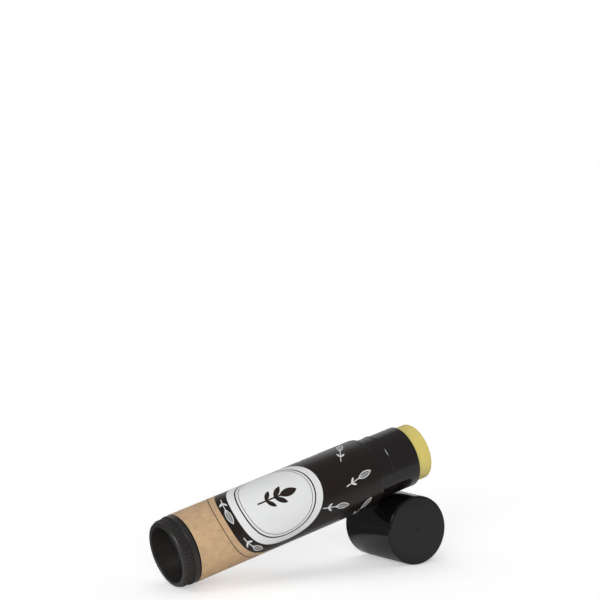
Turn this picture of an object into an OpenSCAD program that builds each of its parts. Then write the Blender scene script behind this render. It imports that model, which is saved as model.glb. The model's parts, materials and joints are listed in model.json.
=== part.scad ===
// Lip balm stick, shown open: the twist-up stick lies with its neck propped
// on its own cap. Millimetres, +Z up, the table is z = 0, +X runs along the
// stick towards the balm, and the origin is under the middle of the whole.

/* [Barrel] */
// Diameter of the bore that the balm slides in
bore_d = 13.4; // [12:0.1:15]
// Wall of the barrel under its label
barrel_wall = 1.2; // [1.15:0.05:2]
// Length of the barrel from its foot to the shoulder that stops the cap
barrel_len = 49.5; // [40:0.5:55]
// Wall of the neck
neck_wall = 0.48; // [0.3:0.02:0.7]
// Length of the whole neck, from the shoulder to the rim
neck_len = 10.8; // [8:0.1:14]
// How far the collar at the foot of the neck stands out of it
collar_out = 0.12; // [0.05:0.01:0.14]
// Length of the collar above the shoulder
collar_len = 3.9; // [2:0.1:6]
// How far the bead at the top of the collar stands out of the neck
bead_out = 0.2; // [0.15:0.01:0.25]
// Height of the bead along the neck
bead_h = 0.4; // [0.3:0.1:0.8]
// Rounding of the shoulder
shoulder_round = 0.3; // [0.1:0.05:0.4]
// Rounding of the rim
rim_round = 0.15; // [0.05:0.05:0.2]
// Wall of the foot of the barrel round the stem of the thumbwheel
foot_wall = 0.85; // [0.7:0.05:1]
// Number of guide grooves in the bore
guide_count = 4; // [2:1:6]
// Width of a guide groove
guide_w = 1.4; // [1:0.1:2]
// Depth of a guide groove in the barrel wall
guide_deep = 0.4; // [0.3:0.05:0.5]
// Solid wall left between the end of a guide groove and the shoulder
guide_stop = 1.5; // [1:0.1:4]

/* [Label] */
// Thickness of the paper label
label_t = 0.09; // [0.05:0.01:0.15]
// Bare barrel left between the label and the shoulder
label_top_bare = 0.9; // [0.5:0.1:3]
// Bare barrel left between the label and the foot
label_foot_bare = 0.15; // [0.1:0.05:1]
// Width of the gap at the seam of the label
seam_w = 0.25; // [0.1:0.05:1]

/* [Cap] */
// Wall of the cap
cap_wall = 0.56; // [0.5:0.02:1.2]
// Length of the cap
cap_len = 17.5; // [16:0.5:24]
// Thickness of the closed end of the cap
cap_end = 1.2; // [0.8:0.1:2]
// Rounding of the closed end
cap_round = 0.55; // [0.2:0.05:0.8]
// Rounding of the mouth
cap_mouth_round = 0.15; // [0.05:0.05:0.2]
// Length of the lead-in at the mouth of the bore
cap_lead = 0.5; // [0.3:0.1:1]

/* [Thumbwheel] */
// Height of the thumbwheel that shows below the barrel
wheel_h = 3.9; // [3.5:0.1:8]
// Height of the plain flange next to the barrel
flange_h = 1.3; // [0.5:0.1:1.5]
// How far the flange stands out of the barrel wall
flange_out = 0.05; // [0:0.01:0.2]
// Rounding of the flange edges
flange_round = 0.15; // [0.05:0.01:0.25]
// How far the ribs of the grip lie inside the flange
grip_in = 0.2; // [0.2:0.02:0.4]
// Number of ribs round the grip
rib_count = 60; // [40:2:66]
// Radius of a rib
rib_r = 0.26; // [0.24:0.01:0.3]
// How far a rib stands out of the grip
rib_out = 0.22; // [0.15:0.01:0.24]
// Plain height of the grip below the ribs
rib_start = 0.55; // [0.5:0.05:1.2]
// Rounding of the foot of the wheel
foot_round = 0.5; // [0.2:0.05:0.6]
// Wall of the stem that snaps into the barrel
stem_wall = 0.5; // [0.45:0.05:0.8]
// Length of the stem inside the barrel
stem_len = 3.9; // [3.5:0.1:6]
// How far the snap bead stands out of the stem
snap_out = 0.26; // [0.15:0.01:0.3]
// Height of the snap bead
snap_h = 0.8; // [0.6:0.1:1.2]
// Height of the snap bead above the foot of the barrel
snap_up = 2; // [1.5:0.1:2.2]
// Depth of the hollow in the base
recess_deep = 4.4; // [3:0.1:5]
// Rounding of the mouth of the hollow
recess_round = 0.2; // [0.1:0.05:0.2]
// Thickness of the floor over the hollow
wheel_floor = 0.9; // [0.8:0.1:1.2]
// Diameter of the round sink in that floor
sink_d = 4.2; // [2:0.1:5]
// Depth of the sink
sink_deep = 0.35; // [0.2:0.05:0.5]

/* [Spindle] */
// Diameter over the thread of the spindle
spindle_d = 4.8; // [4:0.1:6]
// Depth of the thread
thread_deep = 0.9; // [0.6:0.05:1.2]
// Rise of the thread in one turn
pitch = 3; // [2.5:0.5:4]
// Diameter of the plug that is pressed into the hub of the thumbwheel
plug_d = 3; // [2:0.1:3.6]
// Wall of that hub
hub_wall = 1.4; // [0.8:0.1:1.8]
// Solid left under the plug
plug_floor = 0.4; // [0.2:0.1:0.8]
// Thickness of the spindle collar on the hub
seat_h = 0.8; // [0.5:0.1:1.5]
// Length of the plain tip
tip_len = 0.8; // [0.5:0.1:2]
// Depth of the tip below the rim of the barrel
tip_below_rim = 8.4; // [7:0.1:12]

/* [Carrier] */
// Height of the cup that holds the balm
cup_h = 5; // [4:0.1:8]
// Wall of the cup
cup_wall = 0.6; // [0.5:0.05:1]
// Floor of the cup
cup_floor = 1; // [0.8:0.1:1.6]
// Wall of the threaded hub
nut_wall = 1.1; // [0.8:0.1:1.5]
// How far the threaded hub stands above the cup
nut_over = 0.5; // [0.2:0.1:2]
// Number of webs between the hub and the cup
web_count = 4; // [2:1:6]
// Thickness of a web
web_t = 0.7; // [0.5:0.05:1]
// Height of a web above the floor of the cup
web_h = 2.4; // [1:0.1:2.8]
// Height of the lugs that run in the guide grooves
lug_h = 2.2; // [1.5:0.1:3]

/* [Balm] */
// How far the balm stands out of the barrel as shown
balm_up = 4; // [0.5:0.5:20]
// Rounding of the end of the balm
balm_round = 0.6; // [0.5:0.1:2.5]

/* [Clearances] */
// Radial gap between parts that turn or slide
run_gap = 0.1; // [0.06:0.01:0.12]
// Gap under the carrier when it is wound down
low_gap = 0.3; // [0.2:0.05:1]
// Gap between the threads of the spindle and the carrier
thread_gap = 0.2; // [0.15:0.01:0.25]
// Gap between parts that are pressed, cast or glued together
bond_gap = 0.01; // [0.005:0.005:0.02]
// Gap between the neck and the cap that it is propped on
prop_gap = 0.05; // [0.03:0.01:0.1]
// Radial gap between the bead on the neck and the bore of the cap
cap_gap = 0.06; // [0.03:0.01:0.1]

/* [Pose] */
// Lean of the stick above the table
lean = 15.3; // [14:0.1:20]
// How far the cap is turned from square to the stick
cap_turn = 2; // [0:0.5:12]
// Distance from the closed end of the cap to where the neck crosses it
cross_at = 7.7; // [4:0.1:14]

/* [Hidden] */
$fn = 96;
arc_steps = 5;
eps = 0.01;

// Levels along the stick, measured from the foot of the thumbwheel
barrel_foot = wheel_h + run_gap;
shoulder_z = barrel_foot + barrel_len;
rim_z = shoulder_z + neck_len;
flange_z = wheel_h - flange_h;
stem_top = wheel_h + stem_len;
floor_top = recess_deep + wheel_floor;
foot_bore_top = stem_top + low_gap;
guide_top = shoulder_z - guide_stop;
snap_z = barrel_foot + snap_up;
thread_z = stem_top + seat_h;
thread_top = rim_z - tip_below_rim - tip_len;
carrier_low = thread_z + low_gap;
carrier_z = carrier_low + balm_up;
nut_top = carrier_z + cup_h + nut_over;
balm_top = rim_z + balm_up;

// Radii from the bore outwards
bore_r = bore_d / 2;
barrel_r = bore_r + barrel_wall;
label_in = barrel_r + bond_gap;
label_out = label_in + label_t;
neck_r = bore_r + neck_wall;
collar_r = neck_r + collar_out;
bead_r = neck_r + bead_out;
cap_bore_r = bead_r + cap_gap;
cap_r = cap_bore_r + cap_wall;
flange_r = barrel_r + flange_out;
crest_r = flange_r - grip_in;
grip_r = crest_r - rib_out;
foot_bore_r = barrel_r - foot_wall;
stem_r = foot_bore_r - run_gap;
recess_r = stem_r - stem_wall;
snap_r = stem_r + snap_out;

// Radii from the bore inwards
balm_r = bore_r - run_gap;
cup_r = balm_r - run_gap;
lug_r = bore_r + guide_deep - run_gap;
spindle_r = spindle_d / 2;
nut_r = spindle_r + thread_gap + nut_wall;
plug_r = plug_d / 2;
lobe_r = (spindle_d - thread_deep) / 2;
lobe_off = thread_deep / 2;

// Every outer edge of the thumbwheel and the label as [radius, height, rounding]
stick_edges = [
    [grip_r - foot_round, foot_round, foot_round],
    [crest_r, rib_start + rib_out, 0],
    [flange_r - flange_round, flange_z + flange_round, flange_round],
    [label_out, barrel_foot + label_foot_bare, 0]
];
function reach(edges, across, along) = max([for (e = edges) e[0] * across + e[1] * along + e[2]]);

// The stick stands on its lowest edge, and its axis passes over the cap
base_up = reach(stick_edges, cos(lean), -sin(lean));
prop_d = cap_r + bead_r + prop_gap;
skew = sqrt(pow(sin(lean), 2) + pow(cos(lean) * cos(cap_turn), 2));
prop_s = (cap_r - base_up + prop_d * cos(lean) * cos(cap_turn) / skew) / sin(lean);
cross_x = prop_s * cos(lean) + prop_d * sin(lean) * cos(cap_turn) / skew;
cross_y = prop_d * sin(lean) * sin(cap_turn) / skew;

// The box of the whole, so that the origin lies under its middle
balm_edge = [[balm_r - balm_round, balm_top - balm_round, balm_round]];
cap_far_x = cross_x + (cross_at - cap_round) * sin(cap_turn)
    + (cap_r - cap_round) * cos(cap_turn) + cap_round;
cap_far_y = cross_y + (cap_len - cross_at - cap_mouth_round) * cos(cap_turn)
    + (cap_r - cap_mouth_round) * sin(cap_turn) + cap_mouth_round;
cap_near_y = -cross_y + (cross_at - cap_round) * cos(cap_turn)
    + (cap_r - cap_round) * sin(cap_turn) + cap_round;
x_low = -reach(stick_edges, sin(lean), -cos(lean));
x_high = max(cap_far_x, reach(balm_edge, sin(lean), cos(lean)));
y_low = -max(label_out, flange_r, cap_near_y);
y_high = max(label_out, flange_r, cap_far_y);
shift_x = -(x_low + x_high) / 2;
shift_y = -(y_low + y_high) / 2;

// Points of a rounded corner of a profile
function corner(x, y, r, from, to) =
    [for (i = [0 : arc_steps]) let (a = from + (to - from) * i / arc_steps)
        [x + r * cos(a), y + r * sin(a)]];

// Puts what is drawn along its own +Z in the leaning stick
module along_stick() {
    translate([shift_x, shift_y, base_up]) rotate([0, 90 - lean, 0]) children();
}

// Puts what is drawn along its own +Z in the lying cap, closed end first
module along_cap() {
    translate([shift_x + cross_x, shift_y + cross_y, cap_r])
        rotate([0, 0, cap_turn]) rotate([-90, 0, 0]) translate([0, 0, -cross_at]) children();
}

// A straight hole or rod between two levels
module level_rod(r, from, to) {
    translate([0, 0, from]) cylinder(r = r, h = to - from);
}

// Left-hand thread as an off-centre round that turns once in each pitch
module thread_rod(from, to, extra) {
    sides = 12;
    step = 360 / sides;
    turn = 360 * (to - from) / pitch;
    translate([0, 0, from]) rotate([0, 0, -360 * from / pitch])
        linear_extrude(height = to - from, twist = turn, slices = ceil(turn / step), $fn = sides)
            translate([lobe_off, 0]) circle(r = lobe_r + extra);
}

module cap() {
    color("#17120f") along_cap() rotate_extrude() polygon(concat(
        [[0, 0]],
        corner(cap_r - cap_round, cap_round, cap_round, -90, 0),
        corner(cap_r - cap_mouth_round, cap_len - cap_mouth_round, cap_mouth_round, 0, 90),
        [[cap_bore_r + cap_gap, cap_len], [cap_bore_r, cap_len - cap_lead]],
        [[cap_bore_r, cap_end], [0, cap_end]]
    ));
}

module barrel_shell() {
    collar_top = shoulder_z + collar_len;
    rotate_extrude() polygon(concat(
        [[foot_bore_r, barrel_foot], [barrel_r, barrel_foot]],
        corner(barrel_r - shoulder_round, shoulder_z - shoulder_round, shoulder_round, 0, 90),
        [[collar_r, shoulder_z], [collar_r, collar_top - bead_h]],
        [[bead_r, collar_top - bead_h * 3 / 4], [bead_r, collar_top - bead_h / 4]],
        [[neck_r, collar_top]],
        corner(neck_r - rim_round, rim_z - rim_round, rim_round, 0, 90),
        [[bore_r, rim_z], [bore_r, foot_bore_top], [foot_bore_r, foot_bore_top]]
    ));
}

module barrel() {
    groove_r = snap_r + run_gap;
    color("#1d1714") along_stick() difference() {
        barrel_shell();
        level_rod(groove_r, snap_z - run_gap, snap_z + snap_h + run_gap);
        for (i = [0 : guide_count - 1]) rotate([0, 0, 360 * i / guide_count])
            intersection() {
                level_rod(bore_r + guide_deep, stem_top, guide_top);
                translate([0, -guide_w / 2, stem_top])
                    cube([barrel_r, guide_w, guide_top - stem_top]);
            }
    }
}

module label() {
    from = barrel_foot + label_foot_bare;
    to = shoulder_z - label_top_bare;
    color("#2a2320") along_stick() difference() {
        level_rod(label_out, from, to);
        level_rod(label_in, from - 1, to + 1);
        translate([0, -seam_w / 2, from - 1]) cube([label_out + 1, seam_w, to - from + 2]);
    }
}

module wheel_body() {
    rotate_extrude() polygon(concat(
        corner(recess_r + recess_round, recess_round, recess_round, 180, 270),
        corner(grip_r - foot_round, foot_round, foot_round, -90, 0),
        [[grip_r, flange_z]],
        corner(flange_r - flange_round, flange_z + flange_round, flange_round, -90, 0),
        corner(flange_r - flange_round, wheel_h - flange_round, flange_round, 0, 90),
        [[stem_r, wheel_h], [stem_r, snap_z], [snap_r, snap_z + snap_h / 4]],
        [[snap_r, snap_z + snap_h / 2], [stem_r, snap_z + snap_h], [stem_r, stem_top]],
        [[recess_r, stem_top], [recess_r, floor_top]],
        [[0, floor_top], [0, recess_deep], [recess_r, recess_deep]]
    ));
}

module thumbwheel() {
    color("#211d1b") along_stick() difference() {
        union() {
            wheel_body();
            level_rod(plug_r + hub_wall, floor_top - eps, stem_top);
            for (i = [0 : rib_count - 1]) rotate([0, 0, 360 * i / rib_count])
                translate([crest_r - rib_r, 0, 0]) {
                    translate([0, 0, rib_start])
                        cylinder(r1 = rib_r - rib_out + eps, r2 = rib_r, h = rib_out, $fn = 16);
                    translate([0, 0, rib_start + rib_out])
                        cylinder(r = rib_r, h = flange_z - rib_start - rib_out + eps, $fn = 16);
                }
        }
        level_rod(plug_r + bond_gap, floor_top + plug_floor - bond_gap, stem_top + 1);
        level_rod(sink_d / 2, recess_deep - 1, recess_deep + sink_deep);
    }
}

module spindle() {
    color("#efeae2") along_stick() {
        level_rod(plug_r, floor_top + plug_floor, stem_top + eps);
        level_rod(spindle_r, stem_top, thread_z);
        thread_rod(thread_z - eps, thread_top, 0);
        translate([0, 0, thread_top - eps])
            cylinder(r1 = lobe_r - lobe_off, r2 = (lobe_r - lobe_off) * 0.7, h = tip_len + eps);
    }
}

// The space between the hub and the wall of the cup, webs left out
module cup_space(gap, top) {
    difference() {
        level_rod(cup_r - cup_wall - gap, carrier_z + cup_floor + gap, top);
        level_rod(nut_r + gap, carrier_z, nut_top + gap);
        for (i = [0 : web_count - 1]) rotate([0, 0, 360 * (i + 0.5) / web_count])
            translate([0, -web_t / 2 - gap, carrier_z])
                cube([cup_r, web_t + 2 * gap, cup_floor + web_h + gap]);
    }
}

module carrier() {
    color("#f2eee6") along_stick() difference() {
        union() {
            difference() {
                level_rod(cup_r, carrier_z, carrier_z + cup_h);
                cup_space(0, carrier_z + cup_h + 1);
            }
            level_rod(nut_r, carrier_z, nut_top);
            for (i = [0 : guide_count - 1]) rotate([0, 0, 360 * i / guide_count])
                intersection() {
                    level_rod(lug_r, carrier_z, carrier_z + lug_h);
                    translate([cup_r - cup_wall / 2, -guide_w / 2 + run_gap, carrier_z])
                        cube([cup_wall + guide_deep + 1, guide_w - 2 * run_gap, lug_h]);
                }
        }
        thread_rod(carrier_z - 1, nut_top + 1, thread_gap);
    }
}

module balm() {
    crown = balm_r - balm_round;
    color("#d4c468") along_stick() difference() {
        union() {
            cup_space(bond_gap, carrier_z + cup_h + 1);
            rotate_extrude() polygon(concat(
                [[0, carrier_z + cup_h + bond_gap], [balm_r, carrier_z + cup_h + bond_gap]],
                corner(crown, balm_top - balm_round, balm_round, 0, 90),
                [[0, balm_top]]
            ));
        }
        level_rod(nut_r + bond_gap, carrier_z, nut_top + bond_gap);
        level_rod(spindle_r + thread_gap, carrier_z, thread_top + tip_len + balm_up + low_gap);
    }
}

cap();
barrel();
label();
thumbwheel();
spindle();
carrier();
balm();
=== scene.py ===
"""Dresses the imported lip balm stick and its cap: printed label, wax, plastics and a white studio.

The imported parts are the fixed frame. Sizes are in metres in the frame's own axes, and each piece keeps
its place in its mesh.
"""

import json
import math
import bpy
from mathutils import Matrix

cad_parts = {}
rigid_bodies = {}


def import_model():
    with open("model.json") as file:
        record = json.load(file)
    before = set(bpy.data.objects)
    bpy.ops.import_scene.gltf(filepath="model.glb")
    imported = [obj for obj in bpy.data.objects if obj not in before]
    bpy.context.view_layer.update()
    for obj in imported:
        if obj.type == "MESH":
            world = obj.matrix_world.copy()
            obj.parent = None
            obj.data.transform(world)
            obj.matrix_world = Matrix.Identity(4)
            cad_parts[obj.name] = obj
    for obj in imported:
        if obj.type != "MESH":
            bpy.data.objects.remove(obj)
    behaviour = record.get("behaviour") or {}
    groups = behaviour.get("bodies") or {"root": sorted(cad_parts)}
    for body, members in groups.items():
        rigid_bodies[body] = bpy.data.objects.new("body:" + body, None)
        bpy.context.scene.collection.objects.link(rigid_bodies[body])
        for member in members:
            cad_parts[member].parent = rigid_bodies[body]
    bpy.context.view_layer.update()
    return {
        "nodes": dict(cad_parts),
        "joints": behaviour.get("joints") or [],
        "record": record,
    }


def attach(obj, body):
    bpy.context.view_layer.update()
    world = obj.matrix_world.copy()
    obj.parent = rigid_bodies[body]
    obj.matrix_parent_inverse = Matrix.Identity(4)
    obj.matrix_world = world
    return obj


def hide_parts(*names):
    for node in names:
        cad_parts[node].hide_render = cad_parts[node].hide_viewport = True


bl_info = {
    "name": "Lip Balm Stick",
    "version": (1, 0, 0),
    "blender": (4, 5, 0),
    "location": "3D View > Sidebar > Lip Balm",
    "description": "Dresses a twist-up lip balm stick that leans on its cap",
    "category": "Object",
}

import bpy
from mathutils import Matrix, Vector, noise

MM = 0.001

for leftover in list(bpy.data.objects):
    bpy.data.objects.remove(leftover, do_unlink=True)
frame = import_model()
MOUNTS = {mount["name"]: mount for mount in frame["record"]["mounts"]}
TURN = next(joint for joint in frame["joints"] if joint["name"] == "thumbwheel_turn")


def upright(origin, along, side):
    """The matrix that takes a piece modelled upright at the world's origin to its place on the frame."""
    along, side = along.normalized(), side.normalized()
    across = side.cross(along)
    return Matrix.LocRotScale(
        origin, Matrix((across, side, along)).transposed().to_quaternion(), None
    )


STICK_AXIS = Vector(TURN["axis"]).normalized()
STICK_FOOT = Vector(TURN["pos_m"])
STICK_FOOT += STICK_AXIS * (Vector(MOUNTS["base_rim"]["pos_m"]) - STICK_FOOT).dot(STICK_AXIS)
STICK = upright(STICK_FOOT, STICK_AXIS, Vector((0, 1, 0)))
CAP_END = Vector(MOUNTS["cap_end"]["pos_m"])
CAP = upright(CAP_END, -Vector(MOUNTS["cap_end"]["axis"]), Vector((0, 0, 1)))


# Properties

def length(name, description, millimetres, least=0.0):
    """A size property in metres, given here in millimetres."""
    return bpy.props.FloatProperty(
        name=name, description=description, default=millimetres * MM, min=least * MM,
        unit="LENGTH", precision=5,
    )


def turn(name, description, degrees):
    """An angle property, given here in degrees."""
    return bpy.props.FloatProperty(
        name=name, description=description, default=math.radians(degrees), unit="ROTATION"
    )


def share(name, description, value):
    """A property from 0 to 1."""
    return bpy.props.FloatProperty(
        name=name, description=description, default=value, min=0, max=1, subtype="FACTOR"
    )


def strength(name, description, value):
    """The strength of a lamp."""
    return bpy.props.FloatProperty(name=name, description=description, default=value, min=0)


def colour(name, description, rgb):
    """A colour property."""
    return bpy.props.FloatVectorProperty(
        name=name, description=description, default=rgb, size=3, min=0, max=1, subtype="COLOR"
    )


class LabelLook(bpy.types.PropertyGroup):
    """Sizes and inks of the printed label."""

    foot: length("Foot", "Height of the label's lower edge above the stick's foot", 4.15)
    head: length("Head", "Height of the label's upper edge above the stick's foot", 52.6)
    outside: length("Outside Radius", "Radius of the printed face", 8.0)
    paper: length("Paper", "Thickness of the paper with its film", 0.09)
    facing: turn("Facing", "Turn of the badge's middle round the stick from the seam", 232.6)
    badge_height: length("Badge Height", "Height of the badge's middle above the foot", 26.6)
    badge: length("Badge Radius", "Radius of the round badge", 11.3)
    ring: length("Ring Radius", "Radius of the thin ring printed in the badge", 9.4)
    lobe: length("Lobe Radius", "Radius of the round black lobe that holds the badge", 13.95)
    band: length("Band", "Height of the tan band's upper edge away from the badge", 24.5)
    sprig_cell: length("Sprig Spacing", "Height of one row of sprigs", 7.3)
    ink: colour("Ink", "Black field", (0.0125, 0.0088, 0.0074))
    kraft: colour("Kraft", "Bare tan paper", (0.525, 0.355, 0.205))
    white: colour("White", "Badge and sprigs", (0.74, 0.745, 0.75))
    gloss: share("Roughness", "Roughness of the film over the print", 0.25)


class BalmLook(bpy.types.PropertyGroup):
    """Sizes and colour of the wax."""

    radius: length("Radius", "Radius of the wax", 6.6)
    bottom: length("Bottom", "Height of the wax's lower end above the foot", 16.35)
    top: length("Top", "Height of the wax's end above the foot", 68.3)
    edge: length("Edge", "Rounding of the wax's end", 0.6)
    dish: length("Dish", "Depth of the shallow hollow in the end", 0.16)
    wax: colour("Wax", "Pale beeswax", (0.65, 0.55, 0.165))


class PlasticLook(bpy.types.PropertyGroup):
    """Colours and gloss of the moulded plastics."""

    cap: colour("Cap", "Polished black", (0.0045, 0.0038, 0.0038))
    barrel: colour("Barrel", "Glossy black", (0.0065, 0.0052, 0.0048))
    wheel: colour("Thumbwheel", "Satin black", (0.016, 0.0145, 0.0135))
    inner: colour("Inner Parts", "Natural white", (0.80, 0.78, 0.73))
    cap_gloss: share("Cap Roughness", "Roughness of the cap", 0.07)
    barrel_gloss: share("Barrel Roughness", "Roughness of the barrel", 0.13)
    wheel_gloss: share("Thumbwheel Roughness", "Roughness of the thumbwheel", 0.38)


class StudioLook(bpy.types.PropertyGroup):
    """Camera and lights."""

    camera_place: bpy.props.FloatVectorProperty(
        name="Camera", description="Place of the camera", unit="LENGTH", size=3,
        default=(-0.26869, -0.44041, 0.10178),
    )
    azimuth: turn("Azimuth", "Way the camera looks, from +Y towards +X", 31.517)
    pitch: turn("Pitch", "How far the camera looks down", 4.435)
    roll: turn("Roll", "Turn of the camera about its own axis", 0.146)
    lens: bpy.props.FloatProperty(
        name="Lens", description="Focal length on a 36 mm sensor", default=138.0, min=1, unit="CAMERA"
    )
    floor_size: length("Floor", "Side of the floor", 6000)
    front: strength("Front Light", "Strength of the wide light from the front", 2.85)
    top: strength("Top Light", "Strength of the wide light from above", 0.65)
    spark: strength("Spark", "Strength of the round lamp that the plastics mirror", 7.0)


# Mesh helpers

def clear_selection():
    """Leave edit mode and select nothing."""
    if bpy.context.object and bpy.context.object.mode != "OBJECT":
        bpy.ops.object.mode_set(mode="OBJECT")
    bpy.ops.object.select_all(action="DESELECT")


def turned_shell(name, rings, steps, close_start=False, close_end=True):
    """A round shell through (radius, height) rings in metres, extruded ring by ring from the first.

    An end that closes is merged to its middle. A shell that closes neither end stays an open band.
    """
    clear_selection()
    radius, height = rings[0]
    bpy.ops.mesh.primitive_circle_add(
        vertices=steps, radius=radius, fill_type="NOTHING", location=(0, 0, 0)
    )
    piece = bpy.context.object
    piece.name = piece.data.name = name
    bpy.ops.object.mode_set(mode="EDIT")
    bpy.ops.mesh.select_all(action="SELECT")
    bpy.ops.transform.translate(value=(0, 0, height))
    for next_radius, next_height in rings[1:]:
        bpy.ops.mesh.extrude_region_move(
            TRANSFORM_OT_translate={"value": (0, 0, next_height - height)}
        )
        scale = next_radius / radius
        bpy.ops.transform.resize(value=(scale, scale, 1))
        radius, height = next_radius, next_height
    if close_end:
        bpy.ops.mesh.merge(type="CENTER")
    bpy.ops.object.mode_set(mode="OBJECT")
    if close_start:
        pick_vertices(piece, lambda co: abs(co.z - rings[0][1]) < 1e-7)
        bpy.ops.object.mode_set(mode="EDIT")
        bpy.ops.mesh.merge(type="CENTER")
        bpy.ops.object.mode_set(mode="OBJECT")
    return piece


def pick_vertices(piece, wanted):
    """Select only the vertices whose place is wanted, with their edges and faces."""
    mesh = piece.data
    for vertex in mesh.vertices:
        vertex.select = wanted(vertex.co)
    for edge in mesh.edges:
        edge.select = all(mesh.vertices[i].select for i in edge.vertices)
    for face in mesh.polygons:
        face.select = all(mesh.vertices[i].select for i in face.vertices)


def tidy_mesh(piece, smooth_angle=35):
    """Merge doubles, point the faces outwards and shade smooth up to an angle in degrees."""
    clear_selection()
    bpy.context.view_layer.objects.active = piece
    piece.select_set(True)
    bpy.ops.object.mode_set(mode="EDIT")
    bpy.ops.mesh.select_all(action="SELECT")
    bpy.ops.mesh.remove_doubles(threshold=1e-7)
    bpy.ops.mesh.normals_make_consistent(inside=False)
    bpy.ops.object.mode_set(mode="OBJECT")
    bpy.ops.object.shade_smooth_by_angle(angle=math.radians(smooth_angle))


def put(piece, place):
    """Take a piece from its upright modelling place to its place on the frame, in its mesh."""
    clear_selection()
    bpy.context.view_layer.objects.active = piece
    piece.select_set(True)
    piece.matrix_world = place
    bpy.ops.object.transform_apply(location=True, rotation=True, scale=True)
    return piece


def finish_with(piece, material):
    """Give a piece one material in place of what it has."""
    piece.data.materials.clear()
    piece.data.materials.append(material)


def dress_node(node, material):
    """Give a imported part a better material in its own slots."""
    piece = frame["nodes"][node]
    for slot in piece.material_slots:
        slot.material = material


# Shader helpers

class Value:
    """A number in a shader. Used in an expression, it adds the Math nodes for it."""

    def __init__(self, finish, socket):
        self.finish = finish
        self.socket = socket

    def math(self, operation, *others, clamp=False):
        inputs = dict(enumerate((self, *others)))
        return self.finish.node("Math", {"operation": operation, "use_clamp": clamp}, inputs)

    def also(self, name):
        """Another output of the same node."""
        return Value(self.finish, self.socket.node.outputs[name])

    def __add__(self, other):
        return self.math("ADD", other)

    __radd__ = __add__

    def __sub__(self, other):
        return self.math("SUBTRACT", other)

    def __rsub__(self, other):
        return self.finish.node("Math", {"operation": "SUBTRACT"}, {0: other, 1: self})

    def __mul__(self, other):
        return self.math("MULTIPLY", other)

    __rmul__ = __mul__

    def __neg__(self):
        return self.math("MULTIPLY", -1)

    def __abs__(self):
        return self.math("ABSOLUTE")

    def __pow__(self, other):
        return self.math("POWER", other)

    def __mod__(self, other):
        return self.math("FLOORED_MODULO", other)

    def floor(self):
        return self.math("FLOOR")

    def least(self, other):
        return self.math("MINIMUM", other)

    def most(self, other):
        return self.math("MAXIMUM", other)

    def clamped(self):
        return self.math("ADD", 0, clamp=True)


def far(x, y):
    """Distance of a point from the origin."""
    return (x * x + y * y) ** 0.5


def rotated(x, y, angle_cos, angle_sin):
    """A point's coordinates along and across a direction."""
    return x * angle_cos + y * angle_sin, y * angle_cos - x * angle_sin


def ink_at(distance, blur=0.04):
    """1 inside a printed shape and 0 outside it, from the distance outside it in millimetres."""
    return (0.5 - distance * (1 / blur)).clamped()


class Finish:
    """A material built from nodes."""

    def __init__(self, name, **principled):
        self.material = bpy.data.materials.new(name)
        self.material.use_nodes = True
        self.tree = self.material.node_tree
        self.tree.nodes.clear()
        self.shader = self.node("BsdfPrincipled", {}, {})
        self.feed(**principled)
        self.surface(self.shader)

    def node(self, kind, settings=None, inputs=None):
        """Add one node. Its settings are set first, then the values or links of its sockets."""
        made = self.tree.nodes.new("ShaderNode" + kind)
        for key, value in (settings or {}).items():
            if key == "stops":
                ramp = made.color_ramp.elements
                while len(ramp) < len(value):
                    ramp.new(0.5)
                for stop, (place, rgb) in zip(ramp, value):
                    stop.position = place
                    stop.color = (*rgb, 1)
            else:
                setattr(made, key, value)
        for key, value in (inputs or {}).items():
            self.set(made.inputs[key], value)
        shown = next(socket for socket in made.outputs if socket.enabled)
        return Value(self, shown)

    def set(self, socket, value):
        """Link or set one socket."""
        if isinstance(value, Value):
            self.tree.links.new(value.socket, socket)
        elif socket.type == "RGBA":
            socket.default_value = (*value[:3], 1)
        else:
            socket.default_value = value

    def feed(self, **sockets):
        """Set the shader's sockets, named with underscores for spaces."""
        for key, value in sockets.items():
            self.set(self.shader.socket.node.inputs[key.replace("_", " ")], value)

    def surface(self, shader):
        out = self.tree.nodes.new("ShaderNodeOutputMaterial")
        self.tree.links.new(shader.socket, out.inputs["Surface"])

    def mix(self, factor, a, b):
        """Mix two colours."""
        made = self.tree.nodes.new("ShaderNodeMix")
        made.data_type = "RGBA"
        self.set(made.inputs[0], factor)
        self.set(made.inputs[6], a)
        self.set(made.inputs[7], b)
        return Value(self, made.outputs[2])

    def place(self, matrix=None):
        """Object coordinates in millimetres, upright along a piece when its matrix is given."""
        coordinates = self.node("TexCoord").also("Object")
        if matrix is None:
            return self.node("VectorMath", {"operation": "SCALE"}, {0: coordinates, "Scale": 1 / MM})
        origin, rotation, _ = matrix.inverted().decompose()
        return self.node(
            "Mapping", {"vector_type": "POINT"},
            {
                "Vector": coordinates, "Location": tuple(origin / MM),
                "Rotation": tuple(rotation.to_euler("XYZ")), "Scale": (1 / MM,) * 3,
            },
        )

    def noise(self, where, scale, detail=3.0, roughness=0.5, stretch=None):
        """Fractal noise from 0 to 1, stretched by a factor on each axis."""
        if stretch:
            where = self.node("VectorMath", {"operation": "MULTIPLY"}, {0: where, 1: stretch})
        return self.node(
            "TexNoise", {"noise_dimensions": "3D"},
            {"Vector": where, "Scale": scale, "Detail": detail, "Roughness": roughness},
        )

    def bump(self, height, strength, distance_mm):
        """A bump from a height between 0 and 1."""
        self.feed(Normal=self.node(
            "Bump", {}, {"Strength": strength, "Distance": distance_mm * MM, "Height": height}
        ))

    def specks(self, where, scale, size):
        """Scattered specks, 1 in a speck and 0 elsewhere."""
        cell = self.node("TexVoronoi", {"feature": "F1"}, {"Vector": where, "Scale": scale})
        chance = self.node(
            "TexWhiteNoise", {"noise_dimensions": "3D"}, {"Vector": cell.also("Position")}
        )
        near = (size - cell) * (1 / size)
        return near.clamped() * chance.math("GREATER_THAN", 0.82)


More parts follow.
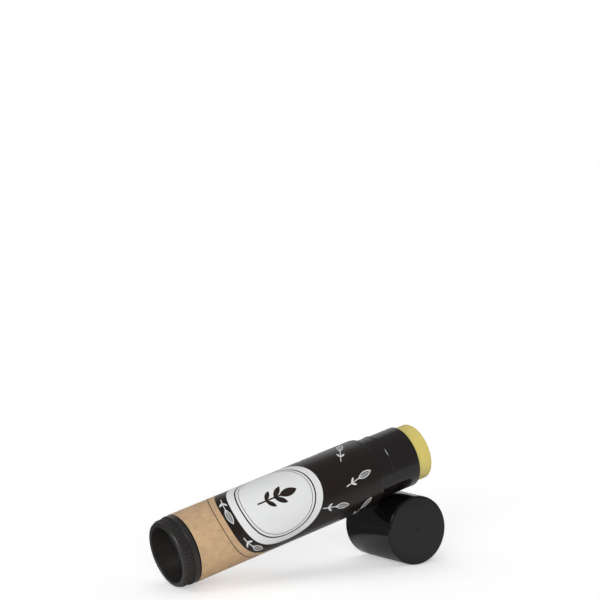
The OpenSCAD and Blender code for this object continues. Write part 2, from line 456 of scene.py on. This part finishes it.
# Printed label. The print is drawn in millimetres: s round the stick, t up from its foot.

LEAFLET_LEAN = math.radians(38)
SPRIGS_ROUND = 6
SPRIG_TURN_LEAST = math.radians(58)
SPRIG_TURN_SPREAD = math.radians(95)
SPRIG_ROW_START = 0.02
SPRIG_COLUMN_START = 0.22
BADGE_CLEAR = 2.4
BAND_CLEAR = 1.5
HEAD_CLEAR = 3.5
BAND_BLEND = 3.0
BAND_LINE_AWAY = 1.5
WREATH_SPRIGS = 7
WREATH_START = 0.4
EMBLEM_SCALE = 1.5
INNER_RING_AWAY = 0.75


def leaf(x, y, half, wide):
    """Distance outside a pointed leaf centred on the origin and lying along x."""
    reach = (half * half + wide * wide) / (2 * wide)
    return far(x, abs(y) + (reach - wide)) - reach


def sprig(x, y):
    """Ink of a sprig 7.4 mm long that points along x: an outlined leaf on a stem with two leaflets."""
    blade = leaf(x - 1.75, y, 1.95, 0.74)
    rib = (abs(y) - 0.05).most(abs(x - 1.6) - 1.5)
    veins = (abs(abs(y) - (x - 1.75) * 0.16 - 0.26) - 0.04).most(blade + 0.2)
    stem = (abs(y) - 0.10).most(abs(x + 1.85) - 1.85)
    line = ink_at(abs(blade + 0.1) - 0.1).most(ink_at(rib)).most(ink_at(veins) * 0.7).most(ink_at(stem))
    along, across = rotated(x + 2.3, abs(y), math.cos(LEAFLET_LEAN), math.sin(LEAFLET_LEAN))
    leaflet = leaf(along - 0.75, across, 0.75, 0.24)
    return line.most(ink_at(blade) * 0.16).most(ink_at(leaflet))


def leaf_sprig(x, y):
    """Ink of a full sprig 7 mm long that points along x, with five solid leaves."""
    shape = ((abs(y) - 0.13).most(abs(x + 1.1) - 2.3)).least(leaf(x - 2.0, y, 1.55, 0.66))
    for root, half, wide, lean in ((-0.5, 1.15, 0.42, 38), (-2.0, 0.95, 0.36, 46)):
        lean = math.radians(lean)
        along, across = rotated(x - root, abs(y), math.cos(lean), math.sin(lean))
        shape = shape.least(leaf(along - half, across, half, wide))
    return ink_at(shape)


def label_paper(look):
    """Black field over bare kraft, a round white badge with a plain double ring, and white sprigs."""
    finish = Finish("label_print", IOR=1.48, Specular_IOR_Level=0.32)
    unrolled = finish.node("UVMap", {"uv_map": "unrolled"})
    parts = finish.node("SeparateXYZ", {}, {0: unrolled})
    around = 2 * math.pi * look.outside / MM
    s = parts.also("X") * around
    t = parts.also("Y") * ((look.head - look.foot) / MM) + look.foot / MM
    facing = look.facing / (2 * math.pi)
    s_badge = s - facing * around
    t_badge = t - look.badge_height / MM
    from_badge = far(s_badge, t_badge)

    lobe = look.lobe / MM
    band = look.band / MM
    in_black = (from_badge - lobe).math("SMOOTH_MIN", band - t, BAND_BLEND)

    cell_high = look.sprig_cell / MM
    cell_wide = around / SPRIGS_ROUND
    row = t * (1 / cell_high) + SPRIG_ROW_START
    row_number = row.floor()
    column = s * (1 / cell_wide) + (row_number % 2) * 0.5 + SPRIG_COLUMN_START
    column_number = column.floor()
    cell = finish.node("CombineXYZ", {}, {0: column_number, 1: row_number})
    chance = finish.node("TexWhiteNoise", {"noise_dimensions": "2D"}, {"Vector": cell})
    angle = SPRIG_TURN_LEAST + chance * SPRIG_TURN_SPREAD
    x = (column - column_number - 0.5) * cell_wide
    y = (row - row_number - 0.5) * cell_high
    along, across = rotated(x, y, angle.math("COSINE"), angle.math("SINE"))
    from_middle = far(s_badge - x, t_badge - y)
    whole = (from_middle - (look.badge / MM + BADGE_CLEAR)).math("GREATER_THAN", 0)
    whole = whole * (t - y - band - BAND_CLEAR).math("GREATER_THAN", 0)
    whole = whole * (look.head / MM - HEAD_CLEAR - (t - y)).math("GREATER_THAN", 0)
    sprigs = sprig(along, across) * whole

    lane = (look.badge / MM + lobe) / 2
    sweep = t_badge.math("ARCTAN2", s_badge) * (WREATH_SPRIGS / (2 * math.pi)) + WREATH_START
    along = (sweep - sweep.floor() - 0.5) * (2 * math.pi / WREATH_SPRIGS * lane)
    beside = sweep.math("LESS_THAN", 0) * (sweep + 3).math("GREATER_THAN", 0)
    sprigs = sprigs.most(sprig(along, from_badge - lane) * beside)

    emblem = leaf_sprig(t_badge * (1 / EMBLEM_SCALE), s_badge * (1 / EMBLEM_SCALE))
    ring = look.ring / MM
    rings = ink_at(abs(from_badge - ring) - 0.17).most(
        ink_at(abs(from_badge - (ring - INNER_RING_AWAY)) - 0.07)
    )
    is_kraft = 1 - ink_at(in_black)
    band_line = ink_at(abs(in_black - BAND_LINE_AWAY) - 0.10)

    grain = finish.place(STICK)
    mottle = finish.noise(grain, 0.55, 5.0, 0.6)
    fibre = finish.noise(grain, 1.6, 4.0, 0.7, (1, 1, 0.25))
    kraft = tuple(look.kraft)
    dark = tuple(c * 0.80 for c in kraft)
    pale = tuple(min(1, c * 1.16) for c in kraft)
    tan = finish.node(
        "ValToRGB", {"stops": [(0.32, dark), (0.52, kraft), (0.74, pale)]},
        {0: mottle * 0.65 + fibre * 0.35},
    )
    ink = finish.mix(mottle * 0.5, tuple(look.ink), tuple(c * 1.35 for c in look.ink))
    base = finish.mix(is_kraft, ink, tan)
    base = finish.mix(band_line * is_kraft, base, tuple(c * 1.6 for c in look.ink))
    white = tuple(look.white)
    clear = (1 - is_kraft) * (1 - ink_at(from_badge - (look.badge / MM + 0.15)))
    base = finish.mix(sprigs * clear, base, tuple(c * 0.93 for c in white))
    base = finish.mix(ink_at(from_badge - look.badge / MM), base, white)
    base = finish.mix(rings, base, tuple(look.ink))
    base = finish.mix(emblem, base, tuple(c * 1.5 for c in look.ink))
    finish.feed(
        Base_Color=base,
        Roughness=(mottle * 0.05 + (look.gloss - 0.03)) + is_kraft * 0.12,
    )
    finish.bump(fibre * (0.15 + is_kraft * 0.85), 0.08, 0.02)
    return finish.material


class LIPBALM_OT_label(bpy.types.Operator):
    """Wrap the printed paper label round the barrel, with its seam under the stick"""

    bl_idname = "lipbalm.label"
    bl_label = "Printed Label"

    def execute(self, context):
        look = context.scene.lipbalm_label
        steps = 192
        rings = [(look.outside, look.foot), (look.outside, look.head)]
        wrap = turned_shell("label_wrap", rings, steps, close_end=False)
        for vertex in wrap.data.vertices:
            vertex.select = False
        half_step = math.pi / steps
        clear_selection()
        wrap.select_set(True)
        bpy.context.view_layer.objects.active = wrap
        wrap.rotation_euler.z = half_step
        bpy.ops.object.transform_apply(location=False, rotation=True, scale=False)
        for face in wrap.data.polygons:
            face.select = face.center.x > 0 and abs(face.center.y) < look.outside * half_step / 2
        bpy.ops.object.mode_set(mode="EDIT")
        bpy.ops.mesh.select_mode(type="FACE")
        bpy.ops.mesh.delete(type="ONLY_FACE")
        bpy.ops.mesh.select_mode(type="VERT")
        bpy.ops.object.mode_set(mode="OBJECT")
        tidy_mesh(wrap)
        paper = wrap.modifiers.new("paper", "SOLIDIFY")
        paper.thickness = look.paper
        face = wrap.data.polygons[0]
        paper.offset = -1 if face.normal.dot(face.center) > 0 else 1
        edge = wrap.modifiers.new("edge", "BEVEL")
        edge.width = 0.02 * MM
        edge.segments = 2
        edge.limit_method = "ANGLE"
        for modifier in ("paper", "edge"):
            bpy.ops.object.modifier_apply(modifier=modifier)
        tidy_mesh(wrap)
        unrolled = wrap.data.uv_layers.new(name="unrolled")
        for loop in wrap.data.loops:
            co = wrap.data.vertices[loop.vertex_index].co
            around = math.atan2(co.y, co.x) % (2 * math.pi) / (2 * math.pi)
            unrolled.data[loop.index].uv = (around, (co.z - look.foot) / (look.head - look.foot))
        put(wrap, STICK)
        finish_with(wrap, label_paper(look))
        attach(wrap, "barrel")
        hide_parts("label")
        return {"FINISHED"}


# Wax. Heights are above the stick's foot, and the wax fills the carrier's cup below.

CUP = 5.89 * MM
CUP_TOP = 17.91 * MM
NUT = 3.71 * MM
NUT_TOP = 18.41 * MM
BORE = 2.6 * MM
BORE_TOP = 60.2 * MM
SOFT_END = 3 * MM
EDGE_STEPS = 14
END_RINGS = (0.93, 0.84, 0.72, 0.58, 0.44, 0.3, 0.16, 0.06)


def balm_wax(look):
    """Soft pale wax, a little cloudy, with faint smears."""
    finish = Finish(
        "balm_wax", IOR=1.44, Subsurface_Weight=0.22, Subsurface_Scale=0.0016,
        Subsurface_Radius=(1.0, 0.7, 0.25),
    )
    where = finish.place(STICK)
    cloud = finish.noise(where, 0.22, 3.0, 0.5)
    grain = finish.noise(where, 2.2, 4.0, 0.6)
    wax = tuple(look.wax)
    finish.feed(
        Base_Color=finish.mix(
            cloud, tuple(c * f for c, f in zip(wax, (0.94, 0.90, 0.80))),
            tuple(min(1, c * f) for c, f in zip(wax, (1.05, 1.08, 1.18))),
        ),
        Roughness=0.42 + grain * 0.18,
    )
    finish.bump(grain * 0.6 + cloud * 0.4, 0.25, 0.05)
    return finish.material


class LIPBALM_OT_balm(bpy.types.Operator):
    """Turn the stick of wax with its rounded end, and let the end sink and waver a little"""

    bl_idname = "lipbalm.balm"
    bl_label = "Balm"

    def execute(self, context):
        look = context.scene.lipbalm_balm
        rings = [(BORE, BORE_TOP), (BORE, NUT_TOP), (NUT, NUT_TOP), (NUT, look.bottom)]
        rings += [(CUP, look.bottom), (CUP, CUP_TOP), (look.radius, CUP_TOP)]
        middle = (look.radius - look.edge, look.top - look.edge)
        for step in range(EDGE_STEPS + 1):
            angle = math.pi / 2 * step / EDGE_STEPS
            rings.append(
                (middle[0] + look.edge * math.cos(angle), middle[1] + look.edge * math.sin(angle))
            )
        rings += [(middle[0] * part, look.top) for part in END_RINGS]
        balm = turned_shell("balm_stick", rings, 128, close_start=True)
        for vertex in balm.data.vertices:
            co = vertex.co
            if co.z < look.top - SOFT_END:
                continue
            out = math.hypot(co.x, co.y) / look.radius
            depth = min(1, (co.z - (look.top - SOFT_END)) / SOFT_END)
            waver = noise.noise(Vector((co.x, co.y, co.z)) * 260) * 0.07 * MM
            co.z -= look.dish * max(0, 1 - (out / 0.8) ** 2) ** 1.5 - waver * depth
            swell = 1 + 0.004 * depth * noise.noise(Vector((co.x, co.y, co.z)) * 300) - 0.002 * depth
            co.x, co.y = co.x * swell, co.y * swell
        tidy_mesh(balm, 50)
        put(balm, STICK)
        finish_with(balm, balm_wax(look))
        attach(balm, "carrier")
        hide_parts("balm")
        return {"FINISHED"}


# Plastics. The marks are lists of (radius, height) in millimetres, from the side in the wall outwards.

GATE_MARK = ((0.62, 0.1), (0.60, -0.015), (0.52, -0.04), (0.34, -0.045), (0.26, -0.025), (0.12, -0.02))
PIN_MARK = ((0.55, 0.1), (0.55, -0.05), (0.50, -0.1), (0.30, -0.11))
PIN_MARKS = 3
PIN_MARK_AWAY = 4.6 * MM
PIN_MARK_TURN = 40
HOLLOW_FLOOR = 4.4


def polished_black(look):
    """Polished black with a few specks of dust and the faintest ripple."""
    finish = Finish("cap_gloss_black", IOR=1.49)
    where = finish.place()
    dust = finish.specks(where, 0.55, 0.05)
    haze = finish.noise(where, 0.35, 4.0, 0.6)
    finish.feed(
        Base_Color=finish.mix(dust, tuple(look.cap), (0.16, 0.16, 0.16)),
        Roughness=(look.cap_gloss + haze * 0.05) + dust * 0.3,
    )
    finish.bump(finish.noise(where, 0.18, 1.0, 0.4), 0.05, 0.05)
    return finish.material


def drawn_black(look):
    """Glossy black with faint draw lines along the stick."""
    finish = Finish("barrel_gloss_black", IOR=1.49)
    where = finish.place(STICK)
    lines = finish.noise(where, 1.3, 3.0, 0.6, (1, 1, 0.04))
    haze = finish.noise(where, 0.4, 3.0, 0.5)
    finish.feed(
        Base_Color=finish.mix(haze, tuple(look.barrel), tuple(c * 1.5 for c in look.barrel)),
        Roughness=(look.barrel_gloss - 0.04) + haze * 0.08,
    )
    finish.bump(lines, 0.10, 0.03)
    return finish.material


def satin_black(look):
    """Satin black with a fine moulded grain."""
    finish = Finish("wheel_satin_black", IOR=1.49)
    where = finish.place(STICK)
    grain = finish.noise(where, 5.0, 4.0, 0.6)
    haze = finish.noise(where, 0.5, 3.0, 0.5)
    finish.feed(
        Base_Color=finish.mix(haze, tuple(look.wheel), tuple(c * 1.35 for c in look.wheel)),
        Roughness=(look.wheel_gloss - 0.06) + haze * 0.12,
    )
    finish.bump(grain, 0.18, 0.02)
    return finish.material


def natural_white(look):
    """Natural white plastic, slightly waxy."""
    finish = Finish("inner_natural_white", IOR=1.49, Subsurface_Weight=0.1, Subsurface_Scale=0.001)
    where = finish.place(STICK)
    haze = finish.noise(where, 0.8, 3.0, 0.5)
    finish.feed(
        Base_Color=finish.mix(haze, tuple(look.inner), tuple(min(1, c * 1.08) for c in look.inner)),
        Roughness=0.34 + haze * 0.14,
    )
    finish.bump(haze, 0.08, 0.03)
    return finish.material


class LIPBALM_OT_cap(bpy.types.Operator):
    """Finish the cap in polished black and add the moulding's gate mark at its closed end"""

    bl_idname = "lipbalm.cap"
    bl_label = "Cap"

    def execute(self, context):
        gloss = polished_black(context.scene.lipbalm_plastic)
        dress_node("cap", gloss)
        rings = [(radius * MM, height * MM) for radius, height in GATE_MARK]
        mark = turned_shell("cap_gate_mark", rings, 32, close_start=True)
        tidy_mesh(mark, 60)
        put(mark, CAP)
        finish_with(mark, gloss)
        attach(mark, "cap")
        return {"FINISHED"}


class LIPBALM_OT_barrel(bpy.types.Operator):
    """Finish the barrel, its collar, bead and neck in glossy black"""

    bl_idname = "lipbalm.barrel"
    bl_label = "Barrel"

    def execute(self, context):
        dress_node("barrel", drawn_black(context.scene.lipbalm_plastic))
        return {"FINISHED"}


class LIPBALM_OT_thumbwheel(bpy.types.Operator):
    """Finish the thumbwheel in satin black and add the round pin marks on the floor of its hollow"""

    bl_idname = "lipbalm.thumbwheel"
    bl_label = "Thumbwheel"

    def execute(self, context):
        satin = satin_black(context.scene.lipbalm_plastic)
        dress_node("thumbwheel", satin)
        rings = [(radius * MM, (HOLLOW_FLOOR + height) * MM) for radius, height in PIN_MARK]
        first = turned_shell("wheel_pin_mark_1", rings, 24, close_start=True)
        tidy_mesh(first, 60)
        pieces = [first]
        for number in range(1, PIN_MARKS):
            copy = first.copy()
            copy.data = first.data.copy()
            copy.name = copy.data.name = f"wheel_pin_mark_{number + 1}"
            context.scene.collection.objects.link(copy)
            pieces.append(copy)
        for number, piece in enumerate(pieces):
            angle = math.radians(PIN_MARK_TURN + 360 * number / PIN_MARKS)
            away = Vector((math.cos(angle), math.sin(angle), 0)) * PIN_MARK_AWAY
            place = STICK @ Matrix.Translation(away)
            put(piece, place)
            finish_with(piece, satin)
            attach(piece, "thumbwheel")
        return {"FINISHED"}


class LIPBALM_OT_inner(bpy.types.Operator):
    """Finish the spindle and the carrier in natural white plastic"""

    bl_idname = "lipbalm.inner"
    bl_label = "Inner Parts"

    def execute(self, context):
        white = natural_white(context.scene.lipbalm_plastic)
        for node in ("spindle", "carrier"):
            dress_node(node, white)
        return {"FINISHED"}


# Studio

def floor_white():
    """White floor that shows as plain white and keeps the soft shadow.

    Painted reflection: glossy rays alone see the floor painted grey outside a zone under the stick, mid
    grey in front and darker grey behind, standing in for shade and, behind the cap, for a dark
    reflection.
    """
    finish = Finish("floor_white", Roughness=0.7, Emission_Strength=1.0)
    path = finish.node("LightPath")
    flat = finish.node("SeparateXYZ", {}, {0: finish.node("TexCoord").also("Object")})
    x, y = flat.also("X"), flat.also("Y")
    near, fade, glow_near = 0.12, 0.5, 0.395
    away = ((far(x, y) - near) * (1 / fade)).clamped()
    glow = path.also("Is Camera Ray") * (glow_near + away * (1 - glow_near))
    # Zone under the stick where glossy rays see the floor in its own white.
    plain_reflection_zone = ((y + 0.10) * 30).clamped() * ((0.016 - y) * 300).clamped()
    # Painted reflection: outside that zone, glossy rays see the floor painted grey, darker behind the
    # stick, standing in for shade.
    bare = path.also("Is Glossy Ray") * (1 - plain_reflection_zone)
    behind = (y * 100).clamped()
    painted_reflection_grey = finish.mix(behind, (0.5,) * 3, (0.2,) * 3)
    # Base colour is white, but painted grey for glossy rays outside the zone: a painted reflection.
    finish.feed(
        Base_Color=finish.mix(bare, (0.97,) * 3, painted_reflection_grey),
        Emission_Color=finish.node("CombineXYZ", {}, {0: glow, 1: glow, 2: glow}),
    )
    return finish.material


def studio_air(scene, look):
    """White for the camera and a pale light elsewhere, dimmer on the camera's side.

    Glossy plastics mirror a bright wall behind and to the right of the stick.
    """
    world = bpy.data.worlds.new("studio_air")
    world.use_nodes = True
    scene.world = world
    tree = world.node_tree
    tree.nodes.clear()
    finish = Finish.__new__(Finish)
    finish.tree = tree
    path = finish.node("LightPath")
    way = finish.node("TexCoord").also("Generated")
    ahead = (math.sin(look.azimuth), math.cos(look.azimuth), 0)
    beside = (math.cos(look.azimuth), -math.sin(look.azimuth), 0)
    facing = finish.node("VectorMath", {"operation": "DOT_PRODUCT"}, {0: way, 1: ahead}).also("Value")
    height = finish.node("SeparateXYZ", {}, {0: way}).also("Z")
    soft = 0.18 + (facing * 0.8 + height * 0.35 + 0.30).clamped() * 0.14
    side = finish.node("VectorMath", {"operation": "DOT_PRODUCT"}, {0: way, 1: beside}).also("Value")
    wall = ((facing - 0.50) * 6.0).clamped() * ((side + 0.50) * 4.0).clamped()
    wall = wall * ((0.80 - height) * 8.0).clamped()
    shown = 0.28 - (-side * 2).clamped() * (facing * 3).clamped() * 0.15 + wall * 0.42
    lit = soft + path.also("Is Glossy Ray") * (shown - soft)
    strength = path.also("Is Camera Ray") * (1 - lit) + lit
    back = finish.node("Background", {}, {"Color": (1, 1, 1), "Strength": strength})
    out = tree.nodes.new("ShaderNodeOutputWorld")
    tree.links.new(back.socket, out.inputs["Surface"])


def add_light(name, kind, place, target, energy, **settings):
    """Add a light that points at a target."""
    clear_selection()
    bpy.ops.object.light_add(type=kind, location=place)
    lamp = bpy.context.object
    lamp.name = name
    lamp.data.energy = energy
    for key, value in settings.items():
        setattr(lamp.data, key, value)
    lamp.rotation_euler = (Vector(target) - Vector(place)).to_track_quat("-Z", "Y").to_euler()
    return lamp


class LIPBALM_OT_studio(bpy.types.Operator):
    """Add the white floor, the soft lights and the camera"""

    bl_idname = "lipbalm.studio"
    bl_label = "Studio"

    def execute(self, context):
        scene = context.scene
        look = scene.lipbalm_studio
        clear_selection()
        bpy.ops.mesh.primitive_plane_add(size=look.floor_size, location=(0, 0, 0))
        floor = bpy.context.object
        floor.name = "floor"
        finish_with(floor, floor_white())
        studio_air(scene, look)
        middle = (0.0, 0.0, 0.012)
        wide, wider = math.radians(40), math.radians(60)
        front = add_light("front_sun", "SUN", (-0.60, -0.80, 0.20), middle, look.front, angle=wide)
        front.visible_glossy = False
        top = add_light("top_sun", "SUN", (-0.2, 0.15, 1.0), middle, look.top, angle=wider)
        top.visible_glossy = False
        spark_place = (-0.85, -0.50, 0.55)
        spark = add_light("spark", "AREA", spark_place, middle, look.spark, shape="DISK", size=0.42)
        spark.visible_diffuse = False

        clear_selection()
        bpy.ops.object.camera_add(location=look.camera_place)
        camera = bpy.context.object
        camera.data.sensor_width = 36
        camera.data.lens = look.lens
        camera.data.clip_start, camera.data.clip_end = 0.01, 20
        look_down = Matrix.Rotation(math.pi / 2 - look.pitch, 4, "X")
        look_round = Matrix.Rotation(-look.azimuth, 4, "Z")
        own_roll = Matrix.Rotation(-look.roll, 4, "Z")
        camera.rotation_euler = (look_round @ look_down @ own_roll).to_euler()
        scene.camera = camera
        scene.view_settings.view_transform = "Standard"
        return {"FINISHED"}


class LIPBALM_PT_panel(bpy.types.Panel):
    """Lists the pieces of the lip balm stick"""

    bl_idname = "LIPBALM_PT_panel"
    bl_label = "Lip Balm Stick"
    bl_space_type = "VIEW_3D"
    bl_region_type = "UI"
    bl_category = "Lip Balm"

    def draw(self, context):
        for operator in OPERATORS:
            self.layout.operator(operator.bl_idname)
        for name in GROUPS:
            box = self.layout.box()
            group = getattr(context.scene, name)
            for key in group.bl_rna.properties.keys():
                if key not in ("rna_type", "name"):
                    box.prop(group, key)


GROUPS = {
    "lipbalm_label": LabelLook,
    "lipbalm_balm": BalmLook,
    "lipbalm_plastic": PlasticLook,
    "lipbalm_studio": StudioLook,
}
OPERATORS = (
    LIPBALM_OT_studio, LIPBALM_OT_barrel, LIPBALM_OT_thumbwheel, LIPBALM_OT_inner,
    LIPBALM_OT_cap, LIPBALM_OT_label, LIPBALM_OT_balm,
)
CLASSES = (*GROUPS.values(), *OPERATORS, LIPBALM_PT_panel)


def register():
    for made in CLASSES:
        bpy.utils.register_class(made)
    for name, group in GROUPS.items():
        setattr(bpy.types.Scene, name, bpy.props.PointerProperty(type=group))


def unregister():
    for name in GROUPS:
        delattr(bpy.types.Scene, name)
    for made in reversed(CLASSES):
        bpy.utils.unregister_class(made)


def main():
    register()
    bpy.ops.lipbalm.studio()
    bpy.ops.lipbalm.barrel()
    bpy.ops.lipbalm.thumbwheel()
    bpy.ops.lipbalm.inner()
    bpy.ops.lipbalm.cap()
    bpy.ops.lipbalm.label()
    bpy.ops.lipbalm.balm()


if __name__ == "__main__":
    main()
